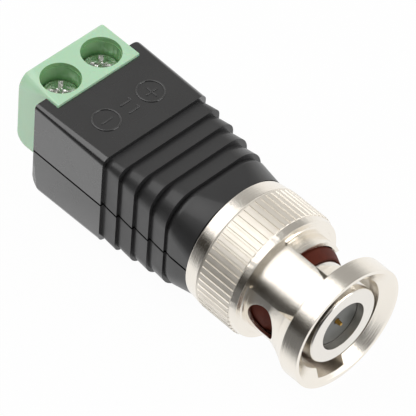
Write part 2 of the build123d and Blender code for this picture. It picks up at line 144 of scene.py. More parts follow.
world = bpy.data.worlds.new("studio")
bpy.context.scene.world = world
world.use_nodes = True
world.node_tree.nodes.clear()
tree = world.node_tree
place = add(tree, "ShaderNodeTexCoord")
height = add(tree, "ShaderNodeSeparateXYZ", {0: place.outputs["Generated"]})
tone = add(tree, "ShaderNodeValToRGB", {0: height.outputs["Z"]})
tone.color_ramp.elements[0].position = 0.2
tone.color_ramp.elements[0].color = linear("#FBFAF8")
tone.color_ramp.elements[1].position = 0.5
tone.color_ramp.elements[1].color = linear("#ABAAA8")
toward = add(tree, "ShaderNodeVectorMath", {0: place.outputs["Generated"], 1: camera_side},
             operation="DOT_PRODUCT")
across = add(tree, "ShaderNodeMapRange", {"Value": toward.outputs["Value"], "From Min": 0.0,
                                          "From Max": 0.25})
low = add(tree, "ShaderNodeMapRange", {"Value": height.outputs["Z"], "From Min": 0.5, "From Max": 0.34})
unlit = add(tree, "ShaderNodeMath", {0: across.outputs[0], 1: low.outputs[0]}, operation="MULTIPLY")
room = add(tree, "ShaderNodeMix", {"Factor": unlit.outputs[0]}, data_type="RGBA")
tree.links.new(tone.outputs["Color"], room.inputs["A"])
room.inputs["B"].default_value = linear("#2E2B27")
sky = add(tree, "ShaderNodeBackground", {"Color": room.outputs["Result"], "Strength": 1.0})
add(tree, "ShaderNodeOutputWorld", {"Surface": sky.outputs[0]})


def soft_box(name, place, size, power, aim=(-0.016, 0, 0)):
    data = bpy.data.lights.new(name, "AREA")
    data.shape = "RECTANGLE"
    data.size, data.size_y = size
    data.energy = power
    lamp = bpy.data.objects.new(name, data)
    bpy.context.collection.objects.link(lamp)
    lamp.location = place
    lamp.rotation_euler = (Vector(aim) - Vector(place)).to_track_quat("-Z", "Y").to_euler()
    return lamp


soft_box("key_box", (-0.25, -0.17, 0.44), (0.55, 0.55), 1.5)
soft_box("front_box", (0.5, 0.1, 0.16), (0.12, 0.3), 0.4)
soft_box("edge_box", (0.4, 0.27, 0.25), (0.25, 0.25), 0.6)


# Connector body: a brass tube, turned on a lathe and nickel plated. Its front ring is the outer contact
# and its rear flange sits in the neck of the housing.
segments = 160
contact_radius = 4.05
contact_face_radius = 3.91
contact_bore_radius = 2.57
contact_bore_depth = 6.0
body_bore_radius = 1.9
seat_gap = 0.03
body_low, body_high = [Vector(corner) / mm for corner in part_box("connector_body")]
neck_front_x = -13.9
body_flange_radius = body_high.y
body_flange_length = 0.8
spigot_radius = 2.6


def begin(adder, name, **settings):
    """Primitive under its own name, with nothing else selected, its place kept in its mesh."""
    bpy.ops.object.select_all(action="DESELECT")
    adder(**settings)
    piece = bpy.context.object
    piece.name = name
    bpy.ops.object.transform_apply(location=True, rotation=True, scale=True)
    return piece


def only(piece):
    bpy.ops.object.select_all(action="DESELECT")
    piece.select_set(True)
    bpy.context.view_layer.objects.active = piece


def rounded(outline, size, closed=True):
    """Outline of (distance, radius) points with its corners rounded, as the tool leaves them."""
    points = [Vector(point) for point in outline]
    if closed:
        points = points[:-1] if (points[0] - points[-1]).length < 0.001 else points
        corners = list(zip(points[-1:] + points[:-1], points, points[1:] + points[:1]))
    else:
        corners = list(zip(points, points[1:-1], points[2:]))
    smooth = []
    for before, here, after in corners:
        back, ahead = before - here, after - here
        reach = min(size, 0.45 * back.length, 0.45 * ahead.length)
        if back.angle(ahead) > math.radians(155):
            smooth.append(here)
            continue
        first, last = here + back.normalized() * reach, here + ahead.normalized() * reach
        smooth += [first, (first + last + 2 * here) / 4, last]
    return smooth + smooth[:1] if closed else points[:1] + smooth + points[-1:]


def lathe(name, profile, count=segments, along="X", solid=False, at=(0, 0)):
    """Circle carried along (distance, radius) points, each step one extrude and one scale."""
    upright = along == "Z"
    lean = (0, 0, 0) if upright else (0, math.pi / 2, 0)
    step_way = Vector((0, 0, 1)) if upright else Vector((1, 0, 0))
    base = Vector((at[0], at[1], 0)) if upright else Vector((0, at[0], at[1]))
    distance, radius = profile[0]
    middle = base + step_way * distance
    piece = begin(bpy.ops.mesh.primitive_circle_add, name, vertices=count, radius=radius,
                  location=middle, rotation=lean, fill_type="NGON" if solid else "NOTHING")
    bpy.ops.object.mode_set(mode="EDIT")
    bpy.ops.mesh.select_mode(type="VERT")
    bpy.ops.mesh.select_all(action="SELECT")
    for next_distance, next_radius in profile[1:]:
        step = step_way * (next_distance - distance)
        bpy.ops.mesh.extrude_region_move(TRANSFORM_OT_translate={"value": step})
        middle = base + step_way * next_distance
        grow = next_radius / radius
        size = (grow, grow, 1) if upright else (1, grow, grow)
        bpy.ops.transform.resize(value=size, center_override=middle)
        distance, radius = next_distance, next_radius
    bpy.ops.mesh.select_all(action="SELECT")
    bpy.ops.mesh.remove_doubles(threshold=0.0005)
    bpy.ops.mesh.normals_make_consistent(inside=False)
    bpy.ops.object.mode_set(mode="OBJECT")
    return piece


def apply(piece, kind, **settings):
    """Modifier, applied at once."""
    only(piece)
    modifier = piece.modifiers.new(kind.lower(), kind)
    for name, value in settings.items():
        setattr(modifier, name, value)
    bpy.ops.object.modifier_apply(modifier=modifier.name)


def soften(piece, width, angle=32, steps=2):
    """Small rounding on every edge sharper than the angle, as tooling and plating leave it."""
    apply(piece, "BEVEL", width=width, segments=steps, limit_method="ANGLE",
          angle_limit=math.radians(angle), use_clamp_overlap=True, harden_normals=False)


def shade(piece, angle=32):
    only(piece)
    bpy.ops.object.shade_smooth_by_angle(angle=math.radians(angle), keep_sharp_edges=False)
    apply(piece, "WEIGHTED_NORMAL", keep_sharp=True, weight=80)


def combine(piece, other, operation):
    """Boolean with another piece, which is used up."""
    apply(piece, "BOOLEAN", operation=operation, object=other, solver="EXACT")
    bpy.data.objects.remove(other, do_unlink=True)


def hand_over(piece, material, body, slot, *nodes):
    """A finished piece goes from millimetres to metres, and gets its material and body; the CAD parts it
    replaces are hidden.
    """
    only(piece)
    piece.scale = (mm, mm, mm)
    bpy.ops.object.transform_apply(location=True, rotation=True, scale=True)
    piece.data.materials.clear()
    piece.data.materials.append(material)
    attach(piece, body)
    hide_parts(*nodes)


# Turned bright nickel: warm, nearly white, with fine rings round the axis from the lathe tool. The real
# rings are about 0.02 mm apart, and are drawn at 0.07 mm so that they show.
band_dulling = 0.3


def nickel_finish(name, hue, shine, ring_mm, ring_strength, grain_strength, dull_band=None):
    material = empty_material(name)
    tree = material.node_tree
    place = add(tree, "ShaderNodeTexCoord")
    axes = add(tree, "ShaderNodeSeparateXYZ", {0: place.outputs["Object"]})
    across = add(tree, "ShaderNodeCombineXYZ", {"Y": axes.outputs["Y"], "Z": axes.outputs["Z"]})
    radius = add(tree, "ShaderNodeVectorMath", {0: across.outputs[0]}, operation="LENGTH")
    rings_at = add(tree, "ShaderNodeCombineXYZ", {"X": axes.outputs["X"], "Y": radius.outputs["Value"]})
    rings = add(tree, "ShaderNodeTexNoise", {"Vector": rings_at.outputs[0], "Scale": 1 / (ring_mm * mm),
                                             "Detail": 3.0, "Roughness": 0.6})
    grain = add(tree, "ShaderNodeTexNoise", {"Vector": place.outputs["Object"], "Scale": 1 / (0.25 * mm),
                                             "Detail": 4.0})
    cloud = add(tree, "ShaderNodeTexNoise", {"Vector": place.outputs["Object"], "Scale": 1 / (2.5 * mm),
                                             "Detail": 2.0})
    worn = add(tree, "ShaderNodeMapRange", {"Value": cloud.outputs[0], "From Min": 0.3, "From Max": 0.7,
                                            "To Min": shine - 0.03, "To Max": shine + 0.05})
    dull = worn
    if dull_band:
        middle, half = dull_band
        offset = add(tree, "ShaderNodeMath", {0: axes.outputs["X"], 1: middle * mm}, operation="SUBTRACT")
        offset = add(tree, "ShaderNodeMath", {0: offset.outputs[0]}, operation="ABSOLUTE")
        inside = add(tree, "ShaderNodeMath", {0: offset.outputs[0], 1: half * mm}, operation="LESS_THAN")
        dull = add(tree, "ShaderNodeMath", {0: inside.outputs[0], 1: band_dulling, 2: worn.outputs[0]},
                   operation="MULTIPLY_ADD")
    bump = add(tree, "ShaderNodeBump", {"Height": rings.outputs[0], "Strength": ring_strength,
                                        "Distance": 0.02 * mm})
    bump = add(tree, "ShaderNodeBump", {"Height": grain.outputs[0], "Strength": grain_strength,
                                        "Distance": 0.01 * mm, "Normal": bump.outputs[0]})
    metal = add(tree, "ShaderNodeBsdfPrincipled", {"Base Color": linear(hue), "Metallic": 1.0,
                                                   "Roughness": dull.outputs[0], "Normal": bump.outputs[0]})
    return finish_material(material, metal)


turned_nickel = nickel_finish("turned_nickel", "#EAE6DF", 0.17, 0.07, 0.35, 0.1)
flange_rear_x = neck_front_x - body_flange_length
connector = lathe("outer_contact", rounded([
    (0, contact_bore_radius),
    (0, contact_face_radius),
    (contact_face_radius - contact_radius, contact_radius),
    (neck_front_x, contact_radius),
    (neck_front_x, body_flange_radius),
    (flange_rear_x, body_flange_radius),
    (flange_rear_x, spigot_radius),
    (body_low.x, spigot_radius),
    (body_low.x, body_bore_radius),
    (-contact_bore_depth, body_bore_radius),
    (-contact_bore_depth, contact_bore_radius),
], 0.06))
shade(connector)
hand_over(connector, turned_nickel, "adapter", "nickel_brass", "connector_body")


# Centre contact: a slender brass pin, turned and gold plated, and the gray insulator that centres it in
# the outer contact.
pin_low, pin_high = [Vector(corner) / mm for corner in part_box("center_pin")]
insulator_low, insulator_high = [Vector(corner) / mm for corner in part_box("front_insulator")]
pin_tip_x = pin_high.x
pin_radius = pin_high.y
pin_nose_radius = 0.28
pin_tip_radius = 0.2
pin_nose_length = 0.8
pin_taper_length = 0.4

gold_plate = empty_material("gold_plate")
tree = gold_plate.node_tree
place = add(tree, "ShaderNodeTexCoord")
grain = add(tree, "ShaderNodeTexNoise", {"Vector": place.outputs["Object"], "Scale": 1 / (0.1 * mm)})
bump = add(tree, "ShaderNodeBump", {"Height": grain.outputs[0], "Strength": 0.1, "Distance": 0.01 * mm})
metal = add(tree, "ShaderNodeBsdfPrincipled", {"Base Color": linear("#B8944E"), "Metallic": 1.0,
                                               "Roughness": 0.25, "Normal": bump.outputs[0]})
finish_material(gold_plate, metal)

contact_pin = lathe("contact_pin", [
    (pin_tip_x, pin_tip_radius * 0.3),
    (pin_tip_x - 0.05, pin_tip_radius * 0.75),
    (pin_tip_x - 0.15, pin_tip_radius),
    (pin_tip_x - pin_nose_length, pin_nose_radius),
    (pin_tip_x - pin_nose_length - pin_taper_length, pin_radius),
    (pin_low.x, pin_radius),
    (pin_low.x, pin_radius * 0.1),
], count=48, solid=True)
shade(contact_pin)
hand_over(contact_pin, gold_plate, "adapter", "gold_pin", "center_pin")

gray_acetal = empty_material("gray_acetal")
tree = gray_acetal.node_tree
place = add(tree, "ShaderNodeTexCoord")
cloud = add(tree, "ShaderNodeTexNoise", {"Vector": place.outputs["Object"], "Scale": 1 / (1.2 * mm)})
tint = add(tree, "ShaderNodeValToRGB", {0: cloud.outputs[0]})
tint.color_ramp.elements[0].color = linear("#5A5B59")
tint.color_ramp.elements[1].color = linear("#6C6D6A")
bump = add(tree, "ShaderNodeBump", {"Height": cloud.outputs[0], "Strength": 0.1, "Distance": 0.05 * mm})
plastic = add(tree, "ShaderNodeBsdfPrincipled", {"Base Color": tint.outputs[0], "Roughness": 0.35,
                                                 "IOR": 1.48, "Normal": bump.outputs[0]})
finish_material(gray_acetal, plastic)

insulator = lathe("insulator", rounded([
    (insulator_high.x, pin_nose_radius + seat_gap),
    (insulator_high.x, insulator_high.y),
    (insulator_low.x, insulator_high.y),
    (insulator_low.x, pin_radius + seat_gap),
    (pin_tip_x - pin_nose_length - pin_taper_length, pin_radius + seat_gap),
    (pin_tip_x - pin_nose_length, pin_nose_radius + seat_gap),
], 0.04), count=96)
shade(insulator)
hand_over(insulator, gray_acetal, "adapter", "gray_insulator", "front_insulator")


# Gasket: a red-brown silicone ring, pushed over the outer contact. The mating socket closes on its front
# face, and it shows through the locking holes of the sleeve.
gasket_low, gasket_high = [Vector(corner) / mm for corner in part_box("gasket")]
gasket_round = 0.12
gasket_taper = 1.0
gasket_nose_radius = 4.25

red_silicone_painted_shade = empty_material("red_silicone_painted_shade")
tree = red_silicone_painted_shade.node_tree
place = add(tree, "ShaderNodeTexCoord")
cloud = add(tree, "ShaderNodeTexNoise", {"Vector": place.outputs["Object"], "Scale": 1 / (0.8 * mm),
                                         "Detail": 4.0})
# The tint is darker than the silicone's own red-brown: painted shade, standing in for the deep shade inside
# the sleeve.
tint = add(tree, "ShaderNodeValToRGB", {0: cloud.outputs[0]})
tint.color_ramp.elements[0].color = linear("#4A1A0E")
tint.color_ramp.elements[1].color = linear("#6A2A18")
bump = add(tree, "ShaderNodeBump", {"Height": cloud.outputs[0], "Strength": 0.2, "Distance": 0.03 * mm})
soft = add(tree, "ShaderNodeBsdfPrincipled", {"Base Color": tint.outputs[0], "Roughness": 0.6,
                                              "Specular IOR Level": 0.2,
                                              "Normal": bump.outputs[0]})
finish_material(red_silicone_painted_shade, soft)

seal = lathe("seal", rounded([
    (gasket_high.x, contact_radius + seat_gap),
    (gasket_high.x, gasket_nose_radius),
    (gasket_high.x - gasket_taper, gasket_high.y),
    (gasket_low.x, gasket_high.y),
    (gasket_low.x, contact_radius + seat_gap),
], gasket_round))
shade(seal, 50)
hand_over(seal, red_silicone_painted_shade, "adapter", "silicone", "gasket")


# Coupling sleeve: one zinc casting, turned, knurled and nickel plated. Two flat-edged lands run along the
# barrel, which is necked between them. A bayonet slot and a locking hole break through the neck on each
# side, and on the plus side a window takes its wall away from the slot's rear to the flange.
sleeve_low, sleeve_high = [Vector(corner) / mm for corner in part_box("coupling_sleeve")]
rim_x = sleeve_high.x
sleeve_rear_x = sleeve_low.x
sleeve_bore_radius = 4.85
flange_radius = 6.5
flange_rim_radius = 6.1
flange_length = 2.05
cone_depth = 0.9
waist_radius = 5.2
waist_set = 5.3
flare_steps = 12
flare_bend = 1.45
land_radius = 5.45
land_width = 5.2
land_angle = 123.7
land_shoulder = 0.3
land_run_in = 0.3
land_overlap = 0.03
land_bore_gap = 0.013
window_angle = 47.0
window_width = 7.9
nut_set = 7.85
nut_face_radius = 6.4
nut_step_radius = 5.8
nut_step_height = 0.12
knurl_set = 8.58
knurl_length = 4.18
knurl_radius = 6.65
knurl_depth = 0.11
knurl_teeth = 59
knurl_slope = 0.06
knurl_run_out = 0.12
lip_radius = 6.42
lip_length = 4.3
lip_bore_radius = 4.12
entry_angle = 77.5
entry_width = 3.4
entry_radius = 5.6
entry_depth = 6.2
lock_angle = 180.5
lock_set = 5.75
lock_radius = 1.72
ramp_radius = 5.02
ramp_width = 2.4
ramp_steps = 24

knurl_middle = rim_x - knurl_set - knurl_length / 2
plated_sleeve = nickel_finish("plated_sleeve", "#F3EDE3", 0.2, 0.09, 0.9, 0.3,
                              dull_band=(knurl_middle, knurl_length / 2))


def cutter_bar(name, angle, width, length, middle_x, reach):
    """Bar across the axis, turned about it by the angle from +Y towards +Z."""
    bar = begin(bpy.ops.mesh.primitive_cube_add, name, size=1)
    bar.scale = (length, reach, width)
    bar.rotation_euler = (math.radians(angle), 0, 0)
    bar.location = (middle_x, 0, 0)
    bpy.ops.object.transform_apply(location=True, rotation=True, scale=True)
    return bar


def choose_faces(piece, test):
    """Edit mode, with the faces that pass the test selected."""
    only(piece)
    bpy.ops.object.mode_set(mode="EDIT")
    bpy.ops.mesh.select_mode(type="FACE")
    bpy.ops.mesh.select_all(action="DESELECT")
    bpy.ops.object.mode_set(mode="OBJECT")
    for face in piece.data.polygons:
        face.select = test(face)
    bpy.ops.object.mode_set(mode="EDIT")


flare = []
for step in range(flare_steps + 1):
    share = step / flare_steps
    setback = waist_set + (flange_length - waist_set) * share
    flare.append((rim_x - setback, waist_radius + (flange_radius - waist_radius) * share ** flare_bend))
knurl_front_x = rim_x - knurl_set
knurl_rear_x = knurl_front_x - knurl_length
nut_face_x = rim_x - nut_set
root_radius = knurl_radius - knurl_depth
faces_per_tooth = 4
sleeve = lathe("bayonet_sleeve", rounded(flare + [
    (rim_x, flange_radius),
    (rim_x, flange_rim_radius),
    (rim_x - cone_depth, sleeve_bore_radius),
    (sleeve_rear_x + lip_length, sleeve_bore_radius),
    (sleeve_rear_x + lip_length, lip_bore_radius),
    (sleeve_rear_x, lip_bore_radius),
    (sleeve_rear_x, lip_radius),
    (knurl_rear_x, knurl_radius - 0.02),
    (knurl_rear_x + knurl_run_out, root_radius),
    (knurl_front_x, root_radius),
    (nut_face_x, nut_face_radius),
    (nut_face_x, nut_step_radius),
    (nut_face_x + nut_step_height, nut_step_radius - 0.08),
    (nut_face_x + nut_step_height, waist_radius),
], 0.07), count=knurl_teeth * faces_per_tooth)


def on_ridge(face):
    middle = face.center
    in_band = abs(middle.x - (knurl_front_x + knurl_rear_x) / 2) < knurl_length / 4
    turn = math.atan2(middle.z, middle.y) / math.tau * knurl_teeth
    return in_band and math.hypot(middle.y, middle.z) > root_radius - 0.1 and turn % 1 < 0.75


choose_faces(sleeve, on_ridge)
bpy.ops.mesh.inset(thickness=knurl_slope, depth=knurl_depth, use_individual=False)
bpy.ops.object.mode_set(mode="OBJECT")

land_front_x = rim_x - flange_length
land_rear_x = nut_face_x - land_run_in
land_middle = (land_front_x + nut_face_x) / 2
land_length = land_front_x - nut_face_x
lands = lathe("lands", [
    (land_front_x - land_shoulder, land_radius),
    (land_front_x + land_overlap, flange_radius + land_overlap),
    (land_front_x + land_overlap, sleeve_bore_radius + land_bore_gap),
    (land_rear_x, sleeve_bore_radius + land_bore_gap),
    (land_rear_x, land_radius),
    (land_front_x - land_shoulder, land_radius),
], count=200)
bar = cutter_bar("bar", land_angle, land_width + 0.02, land_length + 3, land_middle, 30)
combine(lands, bar, "INTERSECT")
bar = cutter_bar("bar", land_angle, land_width, land_length, land_middle, 30)
combine(sleeve, bar, "DIFFERENCE")
window_length = entry_depth - flange_length
window = begin(bpy.ops.mesh.primitive_cube_add, "window", size=1)
window.scale = (window_length, 2 * flange_radius, window_width)
window.location = (rim_x - entry_depth + window_length / 2, flange_radius, 0)
bpy.ops.object.transform_apply(location=True, rotation=True, scale=True)
window.rotation_euler = (math.radians(window_angle), 0, 0)
bpy.ops.object.transform_apply(location=True, rotation=True, scale=True)
combine(sleeve, window, "DIFFERENCE")
combine(sleeve, lands, "UNION")

entry_middle = rim_x - entry_depth / 2 + 1
entry = cutter_bar("entry", entry_angle, entry_width, entry_depth + 2, entry_middle, 30)
entry_round = lathe("entry_round", [(rim_x - entry_depth - 1, entry_radius), (rim_x + 3, entry_radius)],
                    solid=True)
bpy.ops.object.mode_set(mode="EDIT")
bpy.ops.mesh.select_all(action="SELECT")
bpy.ops.mesh.fill_holes(sides=0)
bpy.ops.mesh.normals_make_consistent(inside=False)
bpy.ops.object.mode_set(mode="OBJECT")
combine(entry, entry_round, "INTERSECT")
combine(sleeve, entry, "DIFFERENCE")
for side in (0, 180):
    lean = math.radians(lock_angle + side)
    way = Vector((0, math.cos(lean), math.sin(lean)))
    hole = begin(bpy.ops.mesh.primitive_cylinder_add, "hole", vertices=64, radius=lock_radius,
                 depth=6, location=Vector((rim_x - lock_set, 0, 0)) + way * 6,
                 rotation=(lean - math.pi / 2, 0, 0))
    combine(sleeve, hole, "DIFFERENCE")
    start = math.radians(entry_angle + side)
    first_x = rim_x - entry_depth + ramp_width / 2
    slab = begin(bpy.ops.mesh.primitive_plane_add, "slab", size=1)
    slab.scale = (ramp_width, 2, 1)
    slab.location = (first_x, ramp_radius - 1, 0)
    bpy.ops.object.transform_apply(location=True, rotation=True, scale=True)
    slab.rotation_euler = (start, 0, 0)
    bpy.ops.object.transform_apply(location=True, rotation=True, scale=True)
    bpy.ops.object.mode_set(mode="EDIT")
    bpy.ops.mesh.select_all(action="SELECT")
    slide = (entry_depth - ramp_width / 2 - lock_set) / ramp_steps
    swing = math.radians(lock_angle - entry_angle) / ramp_steps
    for step in range(ramp_steps):
        bpy.ops.mesh.extrude_region_move(TRANSFORM_OT_translate={"value": (slide, 0, 0)})
        bpy.ops.transform.rotate(value=-swing, orient_axis="X", center_override=(0, 0, 0))
    bpy.ops.mesh.select_all(action="SELECT")
    bpy.ops.mesh.normals_make_consistent(inside=False)
    bpy.ops.object.mode_set(mode="OBJECT")
    combine(sleeve, slab, "DIFFERENCE")
shade(sleeve, 28)
hand_over(sleeve, plated_sleeve, "sleeve", "nickel_sleeve", "coupling_sleeve")


# Housing: two shells of black ABS, glossy on the box and duller on the grip, joined at the seam. The box
# steps down to the neck through ribs that give the fingers a grip. The neck is rounder towards the plug.
under_low = Vector(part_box("housing_bottom")[0]) / mm
seam_z = -0.15
seam_shade_half = 0.1
box_half_width = 6.5
box_top = 5.85
box_bottom = -5.25
box_rear_corner = 0.45
box_front_corner = 0.8
box_heel = 1.9
box_plan_corner = 0.8
box_rear_x = under_low.x
box_front_x = box_rear_x + 9.1
rib_pitch = 1.975
rib_count = 4
rib_top_depth = 0.45
rib_side_depth = 0.2
rib_bottom_depth = 0.2
rib_foot_corner = 0.3
rib_crease_set = 0.8
rib_crease_share = 0.5
neck_crease_share = 0.2
neck_half = 6.0
first_rib = (6.35, 1.1)
last_rib = (6.05, 3.1)
neck_rear_corner = 3.7
neck_front_corner = 4.9
corner_steps = 10
housing_wall = 1.2
rib_room_half = 5.07
pocket_x = box_rear_x + 1.6
block_half_width = 5.1
block_bottom = -2.65
web_rear_x = flange_rear_x - 1.0
strip_y = 2.54
strip_slot_half = 1.03
strip_slot_top = 0.73
grip_dulling = 0.16
grip_polish = 0.25

black_abs = empty_material("black_abs")
tree = black_abs.node_tree
place = add(tree, "ShaderNodeTexCoord")
grain = add(tree, "ShaderNodeTexNoise", {"Vector": place.outputs["Object"], "Scale": 1 / (0.12 * mm),
                                         "Detail": 3.0})
cloud = add(tree, "ShaderNodeTexNoise", {"Vector": place.outputs["Object"], "Scale": 1 / (3 * mm),
                                         "Detail": 3.0})
gloss = add(tree, "ShaderNodeMapRange", {"Value": cloud.outputs[0], "From Min": 0.35, "From Max": 0.65,
                                         "To Min": 0.22, "To Max": 0.3})
axes = add(tree, "ShaderNodeSeparateXYZ", {0: place.outputs["Object"]})
grip = add(tree, "ShaderNodeMath", {0: axes.outputs["X"], 1: box_front_x * mm}, operation="GREATER_THAN")
dull = add(tree, "ShaderNodeMath", {0: grip.outputs[0], 1: grip_dulling, 2: gloss.outputs[0]},
           operation="MULTIPLY_ADD")
polish = add(tree, "ShaderNodeMath", {0: grip.outputs[0], 1: grip_polish - 1, 2: 1.0},
             operation="MULTIPLY_ADD")
# Painted shade along the seam: in a narrow band on it the plastic is made near black, with no coat and no
# specular, standing in for the shadow in the gap between the shells.
above = add(tree, "ShaderNodeMath", {0: axes.outputs["Z"], 1: seam_z * mm}, operation="SUBTRACT")
above = add(tree, "ShaderNodeMath", {0: above.outputs[0]}, operation="ABSOLUTE")
clear_of_seam_shade = add(tree, "ShaderNodeMapRange", {"Value": above.outputs[0], "From Min": seam_shade_half * mm,
                                         "From Max": seam_shade_half * mm * 1.4})
coat = add(tree, "ShaderNodeMath", {0: polish.outputs[0], 1: clear_of_seam_shade.outputs[0]}, operation="MULTIPLY")
shine = add(tree, "ShaderNodeMath", {0: clear_of_seam_shade.outputs[0], 1: 0.5}, operation="MULTIPLY")
tone = add(tree, "ShaderNodeMix", {"Factor": clear_of_seam_shade.outputs[0]}, data_type="RGBA")
tone.inputs["A"].default_value = linear("#080808")
tone.inputs["B"].default_value = linear("#2B2B2C")
bump = add(tree, "ShaderNodeBump", {"Height": grain.outputs[0], "Strength": 0.15, "Distance": 0.01 * mm})
plastic = add(tree, "ShaderNodeBsdfPrincipled", {"Base Color": tone.outputs["Result"],
                                                 "Roughness": dull.outputs[0],
                                                 "Specular IOR Level": shine.outputs[0],
                                                 "IOR": 1.5, "Normal": bump.outputs[0],
                                                 "Coat Weight": coat.outputs[0], "Coat Roughness": 0.12})
finish_material(black_abs, plastic)


def section(half_width, top, bottom, corner):
    """Points of a rounded rectangle, as (y, z), the same number for every corner size."""
    points = []
    for number, (side, end) in enumerate(((1, top), (-1, top), (-1, bottom), (1, bottom))):
        centre_y = side * (half_width - corner)
        centre_z = end - corner if end == top else end + corner
        for step in range(corner_steps + 1):
            angle = math.pi / 2 * (number + step / corner_steps)
            points.append((centre_y + corner * math.cos(angle), centre_z + corner * math.sin(angle)))
    return points


def sunk(x, half_width, top, bottom, corner, sink):
    """Station of the grip, sunk by a share of the depth at a rib's foot."""
    return x, section(half_width - rib_side_depth * sink, top - rib_top_depth * sink,
                      bottom + rib_bottom_depth * sink, corner - rib_foot_corner * sink)


stations = [(box_rear_x, section(box_half_width, box_top, box_bottom, box_rear_corner)),
            (box_front_x, section(box_half_width, box_top, box_bottom, box_front_corner))]
for number in range(rib_count):
    share = number / (rib_count - 1)
    half_width, corner = [a + (b - a) * share for a, b in zip(first_rib, last_rib)]
    top = box_top + (neck_half - box_top) * share
    bottom = box_bottom + (-neck_half - box_bottom) * share
    rear_x = box_front_x + number * rib_pitch
    for x, sink in ((rear_x, 1), (rear_x + rib_crease_set, rib_crease_share), (rear_x + rib_pitch, 0)):
        stations.append(sunk(x, half_width, top, bottom, corner, sink))
neck_rear_x = box_front_x + rib_count * rib_pitch
neck_crease_x = neck_rear_x + rib_crease_set
stations += [sunk(neck_rear_x, neck_half, neck_half, -neck_half, neck_rear_corner, 1),
             sunk(neck_crease_x, neck_half, neck_half, -neck_half, neck_rear_corner, neck_crease_share),
             sunk(neck_front_x, neck_half, neck_half, -neck_half, neck_front_corner, 0)]


def carry(name, sections):
    """Ring carried from one (x, points) section to the next by extrusion, and fitted to each."""
    x, shape = sections[0]
    body = begin(bpy.ops.mesh.primitive_circle_add, name, vertices=len(shape), radius=1, fill_type="NGON")
    for vertex, (y, z) in zip(body.data.vertices, shape):
        vertex.co = (x, y, z)
    for next_x, next_shape in sections[1:]:
        bpy.ops.object.mode_set(mode="EDIT")
        bpy.ops.mesh.extrude_region_move(TRANSFORM_OT_translate={"value": (next_x - x, 0, 0)})
        bpy.ops.object.mode_set(mode="OBJECT")
        for vertex in body.data.vertices:
            if vertex.select:
                gaps = [math.hypot(vertex.co.y - y, vertex.co.z - z) for y, z in shape]
                vertex.co.yz = next_shape[gaps.index(min(gaps))]
        x, shape = next_x, next_shape
    bpy.ops.object.mode_set(mode="EDIT")
    bpy.ops.mesh.select_all(action="SELECT")
    bpy.ops.mesh.fill_holes(sides=0)
    bpy.ops.mesh.select_all(action="SELECT")
    bpy.ops.mesh.normals_make_consistent(inside=False)
    bpy.ops.object.mode_set(mode="OBJECT")
    return body


def round_rear(piece, x, at, size, way, upright=False):
    """Rear edge along Y (or upright) rounded: a bar, hollowed by a cylinder, is cut from it."""
    bar = begin(bpy.ops.mesh.primitive_cube_add, "bar", size=1)
    bar.scale = (2 * size, 2 * size, 20) if upright else (2 * size, 20, 2 * size)
    bar.location = (x, at, 0) if upright else (x, 0, at)
    bpy.ops.object.transform_apply(location=True, rotation=True, scale=True)
    centre = at + way * size
    cove = begin(bpy.ops.mesh.primitive_cylinder_add, "cove", vertices=96, radius=size, depth=25,
                 rotation=(0 if upright else math.pi / 2, 0, 0),
                 location=(x + size, centre, 0) if upright else (x + size, 0, centre))
    combine(bar, cove, "DIFFERENCE")
    combine(piece, bar, "DIFFERENCE")


def cut_box(piece, low, high):
    """Box between two corners, in millimetres, cut from the piece."""
    box = begin(bpy.ops.mesh.primitive_cube_add, "box", size=1)
    box.scale = [b - a for a, b in zip(low, high)]
    box.location = [(a + b) / 2 for a, b in zip(low, high)]
    bpy.ops.object.transform_apply(location=True, rotation=True, scale=True)
    combine(piece, box, "DIFFERENCE")


def rod(name, rear_x, front_x, radius, at=(0, 0), count=96):
    """Closed cylinder along X."""
    return begin(bpy.ops.mesh.primitive_cylinder_add, name, vertices=count, radius=radius,
                 depth=front_x - rear_x, rotation=(0, math.pi / 2, 0),
                 location=((rear_x + front_x) / 2, at[0], at[1]))


shells = {}
for name, keep_top in (("upper_shell", True), ("lower_shell", False)):
    shell = carry(name, stations)
    round_rear(shell, box_rear_x, box_bottom, box_heel, 1)
    round_rear(shell, box_rear_x, box_half_width, box_plan_corner, -1, upright=True)
    only(shell)
    bpy.ops.object.mode_set(mode="EDIT")
    bpy.ops.mesh.select_all(action="SELECT")
    bpy.ops.mesh.bisect(plane_co=(0, 0, seam_z), plane_no=(0, 0, 1), use_fill=True,
                        clear_inner=keep_top, clear_outer=not keep_top, threshold=0.0001)
    bpy.ops.object.mode_set(mode="OBJECT")
    cavity_rear_x = pocket_x + housing_wall
    inner_y = box_half_width - housing_wall
    cut_box(shell, (cavity_rear_x, -inner_y, box_bottom + housing_wall),
            (box_front_x, inner_y, box_top - housing_wall))
    room = section(rib_room_half, box_top - housing_wall - 0.01, box_bottom + housing_wall + 0.01,
                   last_rib[1])
    combine(shell, carry("room", [(box_front_x - 1, room), (web_rear_x, room)]), "DIFFERENCE")
    cut_box(shell, (box_rear_x - 1, -block_half_width - seat_gap, block_bottom - seat_gap),
            (pocket_x, block_half_width + seat_gap, 9))
    web_hole = rod("web_hole", web_rear_x - 1, neck_front_x + 1, spigot_radius + seat_gap)
    combine(shell, web_hole, "DIFFERENCE")
    flange_seat = rod("seat", flange_rear_x, neck_front_x + 1, body_flange_radius + seat_gap)
    combine(shell, flange_seat, "DIFFERENCE")
    if keep_top:
        for y in (-strip_y, strip_y):
            cut_box(shell, (pocket_x - 1, y - strip_slot_half, seam_z - 1),
                    (cavity_rear_x + 1, y + strip_slot_half, strip_slot_top))
    soften(shell, 0.09, 40, 3)
    shade(shell, 40)
    shells[name] = shell
hand_over(shells["lower_shell"], black_abs, "adapter", "black_housing", "housing_bottom")

